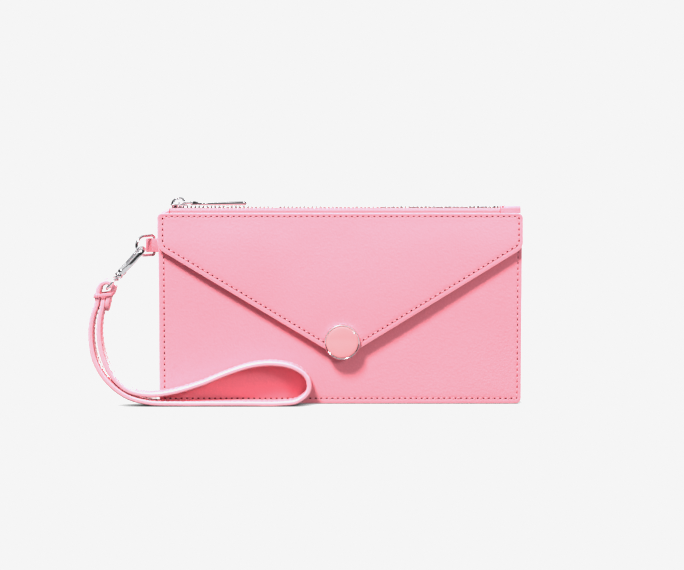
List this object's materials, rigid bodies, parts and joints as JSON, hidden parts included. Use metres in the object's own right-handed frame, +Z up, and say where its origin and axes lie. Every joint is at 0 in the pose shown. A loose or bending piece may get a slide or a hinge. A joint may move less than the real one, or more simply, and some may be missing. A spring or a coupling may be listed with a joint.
{
  "type": "wristlet wallet",
  "caption": "Slim zip-top leather wallet with an envelope flap, a round snap medallion, a side D-ring, a swivel snap hook and a flat leather wrist strap.",
  "frame": {"origin": "middle of the case's flat base, where it stands", "axes": "+X to the wallet's right seen from the front, along its width; +Y towards its back; +Z up, towards the zip. The flap and the strap are on the -Y side"},
  "size_m": [0.2499, 0.0265, 0.1201],
  "materials": {
    "leather_outer": "satin, smooth fine grain, painted edges",
    "leather_inner": "matt, smooth flap lining",
    "strap_leather": "satin, stitched along both edges, painted edges",
    "lining_fabric": "fine woven lining",
    "zip_tape": "woven zip tape",
    "polished_metal": "polished silver plate",
    "snap_steel": "satin nickel plate",
    "enamel": "glossy domed enamel"
  },
  "bodies": {
    "case": {"back_panel": "leather_outer", "main_front_panel": "leather_outer", "front_pocket_panel": "leather_outer", "flap_facing_strip": "leather_outer", "gusset": "leather_outer", "lining_front": "lining_fabric", "lining_back": "lining_fabric", "inner_card_pocket": "lining_fabric", "flap_root_strip": "leather_outer", "snap_socket": "snap_steel", "zip_tape_front": "zip_tape", "zip_tape_back": "zip_tape", "zip_teeth_front": "polished_metal", "zip_teeth_back": "polished_metal", "zip_bottom_stop": "polished_metal", "zip_end_tab_left": "leather_outer", "zip_end_tab_right": "leather_outer", "ring_tab": "leather_outer"},
    "flap": {"flap_outer": "leather_outer", "flap_lining": "leather_inner", "snap_stud": "snap_steel", "clasp_rim": "polished_metal", "clasp_enamel": "enamel"},
    "zip_slider": {"slider_body": "polished_metal"},
    "zip_link": {"pull_link": "polished_metal"},
    "zip_pull": {"pull_tab": "polished_metal"},
    "ring": {"d_ring": "polished_metal"},
    "hook": {"hook_body": "polished_metal", "gate_pin": "snap_steel"},
    "gate": {"hook_gate": "polished_metal"},
    "eye": {"swivel_eye": "polished_metal"},
    "strap": {"wrist_strap": "strap_leather", "strap_keeper": "strap_leather"}
  },
  "joints": [
    {"name": "flap_hinge", "type": "hinge", "parent": "case", "child": "flap", "pos_m": [0, -0.0077, 0.10675], "axis": [-1, 0, 0], "range_deg": [0, 170]},
    {"name": "zip_slide", "type": "slide", "parent": "case", "child": "zip_slider", "axis": [1, 0, 0], "range_m": [0, 0.178]},
    {"name": "link_hinge", "type": "hinge", "parent": "zip_slider", "child": "zip_link", "pos_m": [-0.0932, 0.0009, 0.1164], "axis": [0, -1, 0], "range_deg": [0, 100]},
    {"name": "pull_hinge", "type": "hinge", "parent": "zip_link", "child": "zip_pull", "pos_m": [-0.0856, 0.0009, 0.1164], "axis": [0, -1, 0], "range_deg": [0, 70]},
    {"name": "ring_swing", "type": "hinge", "parent": "case", "child": "ring", "pos_m": [-0.1079, -0.0006, 0.092], "axis": [0, 0, 1], "range_deg": [-120, 0]},
    {"name": "hook_swing", "type": "hinge", "parent": "ring", "child": "hook", "pos_m": [-0.116, -0.0087, 0.0882], "axis": [0.1803, 0.541, -0.8215], "range_deg": [0, 25]},
    {"name": "gate_hinge", "type": "hinge", "parent": "hook", "child": "gate", "pos_m": [-0.12438, -0.00694, 0.07994], "axis": [0.7052, 0.2566, -0.6609], "range_deg": [0, 16], "stiffness_Nm_per_rad": 0.001},
    {"name": "hook_swivel", "type": "hinge", "parent": "hook", "child": "eye", "pos_m": [-0.116, -0.0087, 0.0882], "axis": [0.6521, 0.1311, 0.7468], "range_deg": [-90, 0]},
    {"name": "strap_swing", "type": "hinge", "parent": "eye", "child": "strap", "pos_m": [-0.1339, -0.0123, 0.0677], "axis": [0, 1, 0], "range_deg": [0, 75]}
  ]
}
